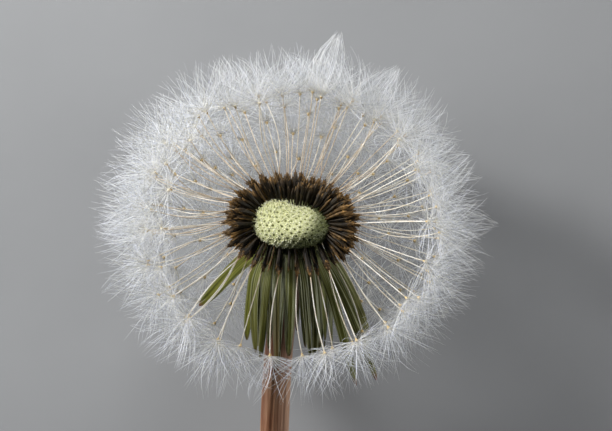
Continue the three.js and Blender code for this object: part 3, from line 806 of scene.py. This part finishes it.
def pad_shade(points):
    """How much the skin is darkened towards dark green: painted shade more to the right, low on the open
    side and in the dimple, and where seeds still stand partly painted shade, partly a darker skin.
    """
    right = points[:, 0] / PAD_RADIUS
    low = -points[:, 2] / PAD_HEIGHT
    away = np.hypot(points[:, 0] - DIMPLE["x"], points[:, 1] - DIMPLE["y"])
    dimple = np.exp(-(away**2)) * (points[:, 2] > 0)
    # Where seeds still stand: partly painted shade under them, partly a darker skin
    inside = bare_measure(pad_normal(points)) - SEEDED["from"]
    seeded = np.clip(inside * SEEDED["steep"], 0, 1)
    shade = PAINTED_SHADE["base"] + PAINTED_SHADE["right"] * right + PAINTED_SHADE["low"] * low
    shade = shade + PAINTED_SHADE["dimple"] * dimple + PAINTED_SHADE["seeded"] * seeded
    return np.clip(shade, 0, 1)


def build_pad():
    """The receptacle: a dimpled cushion, pitted where seeds sat, papillae between the pits."""
    shape = bmesh.new()
    bmesh.ops.create_icosphere(shape, subdivisions=PAD_DIVISIONS, radius=1)
    ball = np.array([vertex.co for vertex in shape.verts])
    faces = np.array([[vertex.index for vertex in face.verts] for face in shape.faces])
    shape.free()
    skin = ball * PAD_AXES
    pits, angles, bearings = pit_places()
    tree = KDTree(len(pits))
    for i, pit in enumerate(pits):
        tree.insert(pit, i)
    tree.balance()
    away = np.array([[near[2] for near in tree.find_n(point, 3)] for point in skin])
    rim = np.exp(-(((away[:, 0] - PIT_RIM) / (PIT_RADIUS / 2)) ** 2))
    pit = np.exp(-((away[:, 0] / PIT_RADIUS) ** 2) * PIT_SHARPNESS)
    corner = np.exp(-((away[:, 2] - away[:, 0]) / CORNER_REACH))
    height = RIM_HEIGHT * rim + CORNER_HEIGHT * corner - PIT_SINK * pit
    place = shape_pad(skin + pad_normal(skin) * height[:, None])
    piece = Piece()
    raised = RELIEF_TONE["corner"] * corner + RELIEF_TONE["rim"] * rim
    relief = np.clip(RELIEF_TONE["base"] + raised - RELIEF_TONE["pit"] * pit, 0, 1)
    # The skin carries its painted shade
    piece.add(place, [faces], place=skin, relief=relief, shade=pad_shade(skin))
    add_papillae(piece, pits[find_corners(angles, bearings)])
    piece.finish("receptacle_fine", pad_material(), "receptacle", "receptacle")


def add_papillae(piece, picks):
    """Small blunt pegs between neighbouring pits, taller at the upper left."""
    edges = (picks[:, :2] + picks[:, 1:]) / 2
    roots = np.concatenate([picks.mean(1), edges.reshape(-1, 3)])
    roots = roots + RANDOM.normal(0, PAPILLA_SCATTER, roots.shape)
    roots = unit(roots / PAD_AXES) * PAD_AXES
    roots = roots[bare_measure(pad_normal(roots)) < PAPILLA_REACH]
    out = pad_normal(roots)
    tall = PAPILLA_HEIGHT * RANDOM.uniform(*PAPILLA_TALLNESS, len(roots))
    crest = np.clip(roots[:, 2] / PAD_HEIGHT - PAPILLA_CREST["from"], 0, 1) * (roots[:, 0] < 0)
    outer = np.where(bare_measure(out) < PAPILLA_TALL_REACH, 1, PAPILLA_SHORT)
    tall = tall * (1 + PAPILLA_CREST["more"] * crest) * outer
    lean = unit(out + RANDOM.normal(0, PAPILLA_LEAN, out.shape))
    steps, widths, tones = np.array(PAPILLA_OUTLINE).T
    paths = roots[:, None] + lean[:, None] * (tall[:, None] * steps)[..., None]
    radii = PAPILLA_RADIUS * widths * RANDOM.uniform(*PAPILLA_THICKNESS, (len(roots), 1))
    rings = shape_pad(tube_rings(paths, radii, PAPILLA_SIDES))
    # Painted shade: each papilla takes a little less of the skin's painted shade under it
    piece.loft(rings, place=rings, relief=tones[None], shade=pad_shade(roots) * PAPILLA_PAINTED_SHADE)


def kind_of(bract):
    """The table of a bract's strap, by whether it strays from the stem."""
    return STRAY if bract[2] > STRAY_SPLAY else STRAP


def strap_course(bract, number, size, shift, shares):
    """A waving strap's middle line, and its ways across and outwards all along it."""
    kind = kind_of(bract)
    middle = np.array([bract_at(bract, share) for share in shares])
    out = direction(math.pi / 2, np.float64(bract[0]))
    across = np.cross(out, np.array([0, 0, 1.0]))
    waves = BRACT_WAVES["count"] + jitter(number, "wave_count", BRACT_WAVES["count_waver"])
    start = jitter(number, "wave_start", BRACT_WAVES["start"])
    wave = np.sin(shares * waves + start) * BRACT_WAVES["depth"] * size
    sway = jitter(number, "strap_sway", kind["sway"])
    middle = middle + out * (shift * np.minimum(shares * BRACT_SETTLE, 1) + wave * shares)[:, None]
    middle = middle + across * (sway * shares**1.5 + wave * BRACT_WAVES["sideways"] * shares)[:, None]
    along = unit(np.gradient(middle, axis=0))
    outward = unit(out - along * (along @ out)[:, None])
    facing = unit(UP - along * (along @ UP)[:, None])
    level = np.clip((outward * facing).sum(-1) * 2 + 0.5, 0, 1) * np.clip(shares * BRACT_SETTLE, 0, 1)
    thick = unit(outward + (facing - outward) * (kind["facing"] * level)[:, None])
    side = np.cross(along, thick)
    turned = jitter(number, "strap_twist", kind["twist"]) * shares
    side = side * np.cos(turned)[:, None] + thick * np.sin(turned)[:, None]
    return middle, side, np.cross(side, along)


def strap_rings(bract, number, size, shift):
    """Rings of a strap that follows a bract: its cross-section is ribbed, cupped and thin."""
    kind = kind_of(bract)
    shares = np.linspace(0, 1, BRACT_STEPS)
    middle, side, thick = strap_course(bract, number, size, shift, shares)
    taper = draw_between(kind["taper"], number, "strap_taper")
    width = bract[3] * size * (1 + jitter(number, "strap_width", kind["width_waver"]))
    half = width / 2 * np.minimum(1, BRACT_NARROW["root"] + shares)
    half = half * np.sqrt(1 - BRACT_NARROW["tip"] * shares**taper)
    turn = np.arange(BRACT_SIDES) / BRACT_SIDES * 2 * math.pi
    u = np.cos(turn)
    thickness = BRACT_FINE_THICKNESS * np.sin(turn) * (1 - BRACT_THIN_EDGE * np.abs(u) ** 3)
    rib_count = draw_between(BRACT_RIBS["count"], number, "strap_ribs")
    ribs = BRACT_RIBS["height"] * np.cos(u * rib_count) * np.sign(np.sin(turn))
    cup = draw_between(kind["cup"], number, "strap_cup")
    lift = (cup * u**2)[None] * half[:, None]
    depth = np.minimum(half, BRACT_RIBS["widest"]) * BRACT_RIBS["depth"]
    lift = lift + (thickness + ribs)[None] * depth[:, None]
    flat = middle[:, None] + side[:, None] * (u[None] * half[:, None])[..., None]
    return upright(flat + thick[:, None] * lift[..., None]), shares, u, half


def bract_tone(number, bearing, inner):
    """How bright green and how brown a strap is: brighter at the left as painted light on the lamp side,
    browner left of middle.
    """
    turn = (bearing + 180) % 360 - 180
    brown = draw(number, "strap_brown")
    # Painted light: straps on the left, facing the key lamp, are painted bright green; elsewhere brightness
    # differs at random
    if BRIGHT_SIDE[0] < turn < BRIGHT_SIDE[1]:
        return 1.0, 0.0
    if BRIGHTER_SIDE[0] <= turn < BRIGHTER_SIDE[1]:
        return 0.65, 0.1
    if BROWN_SIDE[0] < turn < BROWN_SIDE[1] and not inner:
        return 0.1, 0.75 * brown
    return 0.1 + 0.5 * draw(number, "strap_bright") ** 2, 0.3 * brown**2


def build_bracts(bracts):
    """The straps bent back over the stem, in two layers, and the collar that holds them."""
    piece = Piece()
    straps = [(bract, 0.0, 1.0) for bract in bracts]
    for i in range(BRACT_INNER_COUNT):
        turned = jitter(i, "inner_bearing", INNER["bearing_waver"])
        bearing = math.radians(360 / BRACT_INNER_COUNT * (i + 0.5) + turned)
        share = INNER["length"] + jitter(i, "inner_length", INNER["length_waver"])
        splay = INNER["splay"] + jitter(i, "inner_splay", INNER["splay_waver"])
        inner = (bearing, BRACT_LENGTH * share, math.radians(splay), BRACT_WIDTH)
        straps.append((inner, INNER_SHIFT, INNER_SIZE))
    for number, (bract, shift, size) in enumerate(straps):
        kind = kind_of(bract)
        shift += kind["layer"] * (number % 2)
        rings, shares, u, half = strap_rings(bract, number, size, shift)
        place = np.zeros((1, *rings.shape))
        place[0, :, :, 0] = u[None] * half[:, None]
        place[0, :, :, 1] = number * STRAP_APART
        place[0, :, :, 2] = shares[:, None] * bract[1]
        edge = np.clip(np.abs(u) * BRACT_EDGE["steep"] - BRACT_EDGE["from"], 0, 1)
        tip = np.clip((shares - BRACT_TIP["from"]) / BRACT_TIP["over"], 0, 1)
        bright, brown = bract_tone(number, math.degrees(bract[0]), size < 1)
        later = np.clip(shares * BRACT_BROWNING["steep"] - BRACT_BROWNING["from"], 0, 1)
        tones = {"edge": edge[None, None] * kind["edge"], "tip": tip[None] * kind["tip"]}
        piece.loft(rings[None], place=place, bright=np.array([bright]), brown=brown * later[None], **tones)
    add_collar(piece)
    piece.finish("bracts_fine", bract_material(), "bracts", "bracts")


def add_collar(piece):
    """The ring under the receptacle that the bracts grow from."""
    profile = np.array(COLLAR_PROFILE)
    turn = np.arange(COLLAR_SIDES) / COLLAR_SIDES * 2 * math.pi
    spokes = direction(np.full(COLLAR_SIDES, math.pi / 2), turn)
    wobble = 1 + COLLAR_WOBBLE * np.cos(turn * BRACT_COUNT)
    rings = np.array([spokes * (reach * wobble)[:, None] + [0, 0, z] for reach, z in profile])
    place = np.zeros((1, *rings.shape))
    place[0, :, :, 0] = turn[None] * 3
    place[0, :, :, 2] = profile[:, 1][:, None]
    flat = np.zeros(1)
    tones = {"edge": flat, "tip": flat, "bright": flat + COLLAR_BRIGHT, "brown": flat}
    piece.loft(rings[None], closed=True, place=place, **tones)


def add_achenes(piece, foot, tip, size, steps, sides):
    """Ribbed husks from their feet to their tips, toothed along the ribs near the tip."""
    count = len(foot)
    way = unit(tip - foot)
    share = np.linspace(0, 1, steps)
    bend = unit(np.cross(way, RANDOM.normal(size=way.shape))) * RANDOM.normal(0, ACHENE_BEND, (count, 1))
    paths = foot[:, None] + (tip - foot)[:, None] * share[:, None]
    paths = paths + bend[:, None] * np.sin(share * math.pi)[:, None]
    outline = np.interp(share, *zip(*ACHENE_OUTLINE))
    rings = tube_rings(paths, outline[None] * size[:, None], sides)
    ribs = np.cos(np.arange(sides) / sides * ACHENE_RIBS * 2 * math.pi)
    rising = np.clip((share - TOOTHED["from"]) / TOOTHED["in"], 0, 1)
    spiny = rising * np.clip((TOOTHED["to"] - share) / TOOTHED["out"], 0, 1)
    tooth = (np.arange(steps) % 2) * spiny
    teeth = TOOTH_HEIGHT * tooth[:, None] * np.maximum(ribs, 0)[None]
    scale = 1 + ACHENE_RIB_HEIGHT * ribs[None] + teeth
    rings = paths[:, :, None] + (rings - paths[:, :, None]) * scale[None, ..., None]
    tone = RANDOM.random((count, 1))
    warm = np.clip(share * WARM_TIP["steep"] - WARM_TIP["from"], 0, 1)[None]
    warm = warm * (WARM_TIP["least"] + WARM_TIP["more"] * tone)
    warm = warm + WARM_ALL["more"] * (tone > WARM_ALL["above"])
    piece.loft(rings, place=rings, warm=np.clip(warm, 0, 1))


def add_spines(piece, foot, tip):
    """Short spines around the upper part of each husk, pointing up it."""
    count = len(foot)
    way = unit(tip - foot)[:, None]
    share = RANDOM.uniform(*SPINE_SPAN, (count, SPINE_COUNT))
    turn = RANDOM.random((count, SPINE_COUNT)) * 2 * math.pi
    aside = unit(np.cross(way, SIDEWAYS))
    out = np.cos(turn)[..., None] * aside + np.sin(turn)[..., None] * np.cross(way, aside)
    reach = np.interp(share, *zip(*ACHENE_OUTLINE))[..., None] * SPINE_SINK
    root = foot[:, None] + (tip - foot)[:, None] * share[..., None] + out * reach
    lean = unit(way + out * RANDOM.uniform(*SPINE_LEAN, (count, SPINE_COUNT, 1)))
    length = SPINE_LENGTH * RANDOM.uniform(*SPINE_UNEVEN, (count, SPINE_COUNT, 1))
    paths = np.stack([root, root + lean * length * 0.5, root + lean * length], 2)
    paths = paths.reshape(-1, 3, 3)
    rings = tube_rings(paths, np.broadcast_to(SPINE_OUTLINE, paths.shape[:2]), SPINE_SIDES)
    piece.loft(rings, place=rings, warm=RANDOM.uniform(*SPINE_WARM, len(paths)))


def column(seeds, key):
    """One place or way of every seed."""
    return np.array([seed[key] for seed in seeds])


def build_achenes(seeds, husks):
    """Ribbed, spiny husks, and thinner empty ones between them."""
    foot = column(seeds, "foot")
    tip = column(seeds, "tip")
    piece = Piece()
    size = ACHENE_FINE_SIZE + RANDOM.normal(0, ACHENE_SIZE_WAVER, len(seeds))
    add_achenes(piece, foot, tip, size, ACHENE_STEPS, ACHENE_SIDES)
    add_spines(piece, foot, tip)
    material = achene_material()
    piece.finish("achenes_fine", material, "achenes", "achenes")

    foot = column(husks, "foot")
    tip = column(husks, "tip")
    tip = foot + (tip - foot) * RANDOM.uniform(*HUSK_LENGTH, (len(husks), 1))
    thin = Piece()
    add_achenes(thin, foot, tip, RANDOM.uniform(*HUSK_SIZE, len(husks)), HUSK_STEPS, HUSK_SIDES)
    thin.finish("husks", material, "achenes", "achenes")


def bow(seeds):
    """How each beak bows sideways, more downwards than up."""
    way = column(seeds, "way")
    sag = RANDOM.normal(0, BEAK_BOW["any"], way.shape) - np.array([0, 0, BEAK_BOW["down"]])
    sag -= way * (sag * way).sum(-1, keepdims=True)
    return sag * RANDOM.uniform(*BEAK_BOW["size"], (len(seeds), 1))


def build_beaks(seeds):
    """Thin bowed stalks, and the knob that ends each."""
    tip = column(seeds, "tip")
    hub = column(seeds, "hub")
    share = np.linspace(0, 1, BEAK_STEPS)
    paths = tip[:, None] + (hub - tip)[:, None] * share[:, None]
    paths = paths + bow(seeds)[:, None] * np.sin(share * math.pi)[:, None]
    widening = (1 - BEAK_OUTLINE["start"]) * np.minimum(share * BEAK_OUTLINE["full_by"], 1)
    flare = BEAK_OUTLINE["flare"] * np.exp(-(1 - share) * BEAK_OUTLINE["flare_over"])
    thin = BEAK_RADIUS * (BEAK_OUTLINE["start"] + widening + flare)
    rings = tube_rings(paths, np.broadcast_to(thin, paths.shape[:2]), BEAK_SIDES)
    way = column(seeds, "way")
    # Painted light: beaks that point up, to the right and back towards the stem are painted whiter, standing
    # in for the light on them
    lit = BEAK_LIT["base"] - way[:, 1] + BEAK_LIT["side"] * (way[:, 0] - way[:, 2])
    lit = np.clip(lit, 0, BEAK_LIT["most"])[:, None]
    white = BEAK_WHITE["least"] + lit + BEAK_WHITE["more"] * RANDOM.random((len(seeds), 1))
    white = white * np.clip(share * BEAK_WHITE["tan_for"], 0, 1)
    white = np.clip(white + BEAK_WHITE["along"] * share, 0, 1)
    piece = Piece()
    piece.loft(rings, place=rings, along=white)
    piece.finish("beaks", beak_material(), "parachutes", "parachutes")

    way = unit(paths[:, -1] - paths[:, -2])
    steps, radii = np.array(HUB_OUTLINE).T
    middles = hub[:, None] + way[:, None] * steps[:, None]
    rings = tube_rings(middles, np.broadcast_to(radii, middles.shape[:2]), HUB_SIDES)
    knobs = Piece()
    knobs.loft(rings, place=rings, along=np.clip(steps * 3, 0, 1)[None])
    knobs.finish("hubs", hub_material(), "parachutes", "parachutes")
    return way


def is_wisp(way):
    """Whether a seed's hairs are drawn into one long tuft: a few on the outline are."""
    rise = way @ UP
    right, up = way[0], way[1] * math.sin(TILT) + way[2] * math.cos(TILT)
    turn = math.degrees(math.atan2(up, right))
    return abs(rise) < WISP["level"] and any(abs(turn - wisp) < WISP_APART for wisp in WISPS)


def hair_ends(seed, way):
    """Where one seed's hairs start and end, gathered into tufts."""
    count = HAIR_COUNT
    wisp = is_wisp(seed["way"])
    free = float(np.clip(OPEN_FROM - bare_measure(seed["way"]), 0, 1))
    wide = HAIR_WIDE + HAIR_OPENING * free
    if wisp:
        wide *= WISP["wide"]
    aside = unit(np.cross(way, SIDEWAYS))
    other = np.cross(way, aside)
    spread = HAIR_NARROW + (wide - HAIR_NARROW) * ((np.arange(count) + 0.5) / count) ** HAIR_CROWDING
    around = np.arange(count) * GOLDEN_ANGLE + RANDOM.normal(0, HAIR_STRAY, count)
    spread = spread + RANDOM.normal(0, HAIR_SPREAD_STRAY, count)

    def fan(angle, turn):
        out = np.cos(turn)[:, None] * aside + np.sin(turn)[:, None] * other
        return np.cos(angle)[:, None] * way + np.sin(angle)[:, None] * out, out

    ways, out = fan(spread, around)
    tuft_spread = wide * TUFT_WIDE * np.sqrt(RANDOM.random(TUFTS))
    tufts, _ = fan(tuft_spread, RANDOM.random(TUFTS) * 6.3)
    if wisp:
        tufts = unit(tufts[:1] + way * WISP["aim"])
    nearest = (ways @ tufts.T).argmax(1)
    gather = WISP["gather"]
    if not wisp:
        gather = RANDOM.uniform(*TUFT_GATHER) * (RANDOM.random((count, 1)) > UNGATHERED)
    longer = HAIR_REACH["seed_waver"] * RANDOM.normal() + WISP["longer"] * wisp
    length = HAIR_LENGTH * (HAIR_REACH["mean"] + longer)
    length = length * RANDOM.uniform(*HAIR_REACH["spread"], count)
    start = seed["hub"] + way * HUB_TOP + out * HUB_SHOULDER
    straight = start + ways * length[:, None]
    tufted = start + unit(ways * (1 - gather) + tufts[nearest] * gather) * length[:, None]
    return start, straight, tufted


def build_hairs(seeds, ways):
    """The pappus: fine tapered hairs on each hub, in several pieces by side."""
    share = np.linspace(0, 1, HAIR_STEPS)
    groups = [[] for _ in range(HAIR_PIECES)]
    for seed, way in zip(seeds, ways):
        start, straight, tufted = hair_ends(seed, way)
        bend = RANDOM.normal(0, HAIR_BEND, straight.shape) * HAIR_LENGTH
        plain = start[:, None] + (straight - start)[:, None] * share[:, None]
        drawn = start[:, None] + (tufted - start)[:, None] * share[:, None]
        paths = plain + (drawn - plain) * (share**FLAME)[:, None]
        paths = paths + bend[:, None] * np.sin(share * math.pi)[:, None]
        number = int((math.atan2(seed["way"][0], -seed["way"][1]) / (2 * math.pi) % 1) * HAIR_PIECES)
        groups[number].append(upright(paths))
    material = hair_material()
    thin = HAIR_RADIUS * np.array(HAIR_TAPER)
    for number, group in enumerate(groups):
        paths = np.concatenate(group)
        rings = tube_rings(paths, thin * RANDOM.uniform(*HAIR_UNEVEN, (len(paths), 1)), HAIR_SIDES)
        piece = Piece()
        # Painted shade: how grey each strand is painted, drawn at random
        dull = RANDOM.random(len(paths)) ** 1.3
        piece.loft(rings, place=rings, along=np.clip(share * 3, 0, 1)[None], dull=dull)
        piece.finish(f"pappus_{number + 1}", material, "parachutes", "parachutes")


bracts = list_bracts()
seeds, husks = list_seeds(list_obstacles(bracts))
build_stem()
build_pad()
build_bracts(bracts)
build_achenes(seeds, husks)
build_hairs(seeds, build_beaks(seeds))


# Studio


def add_light(name, place, size, energy):
    """A soft square light at a place in millimetres from the head, turned to the head."""
    lamp = bpy.data.lights.new(name, "AREA")
    lamp.size = size * MM
    lamp.energy = energy
    light = bpy.data.objects.new(name, lamp)
    bpy.context.collection.objects.link(light)
    light.location = Vector(HEAD * MM) + Vector(place) * MM
    light.rotation_euler = (-Vector(place)).to_track_quat("-Z", "Y").to_euler()


def add_floor():
    """A large square of paper under the seed head."""
    shape = bmesh.new()
    bmesh.ops.create_grid(shape, x_segments=8, y_segments=8, size=FLOOR_SIZE * MM)
    mesh = bpy.data.meshes.new("floor")
    place = shape.verts.layers.float_vector.new("place")
    for vertex in shape.verts:
        vertex[place] = vertex.co / MM
    shape.to_mesh(mesh)
    shape.free()
    mesh.materials.append(floor_material())
    floor = bpy.data.objects.new("floor", mesh)
    bpy.context.collection.objects.link(floor)


def add_camera():
    """Looks straight down on the part as it lies."""
    lens = bpy.data.cameras.new("camera")
    lens.lens = LENS_LENGTH
    lens.sensor_width = SENSOR_WIDTH
    lens.clip_start, lens.clip_end = CLIP
    camera = bpy.data.objects.new("camera", lens)
    bpy.context.collection.objects.link(camera)
    camera.location = Vector(HEAD * MM) + Vector(CAMERA_PLACE) * MM
    bpy.context.scene.camera = camera


add_floor()
add_camera()
for name, place, size, energy in LIGHTS:
    add_light(name, place, size, energy)
world = bpy.data.worlds.new("studio")
world.use_nodes = True
background = world.node_tree.nodes["Background"]
background.inputs["Color"].default_value = WORLD_COLOUR
background.inputs["Strength"].default_value = WORLD_STRENGTH
bpy.context.scene.world = world
bpy.context.scene.view_settings.view_transform = "Standard"
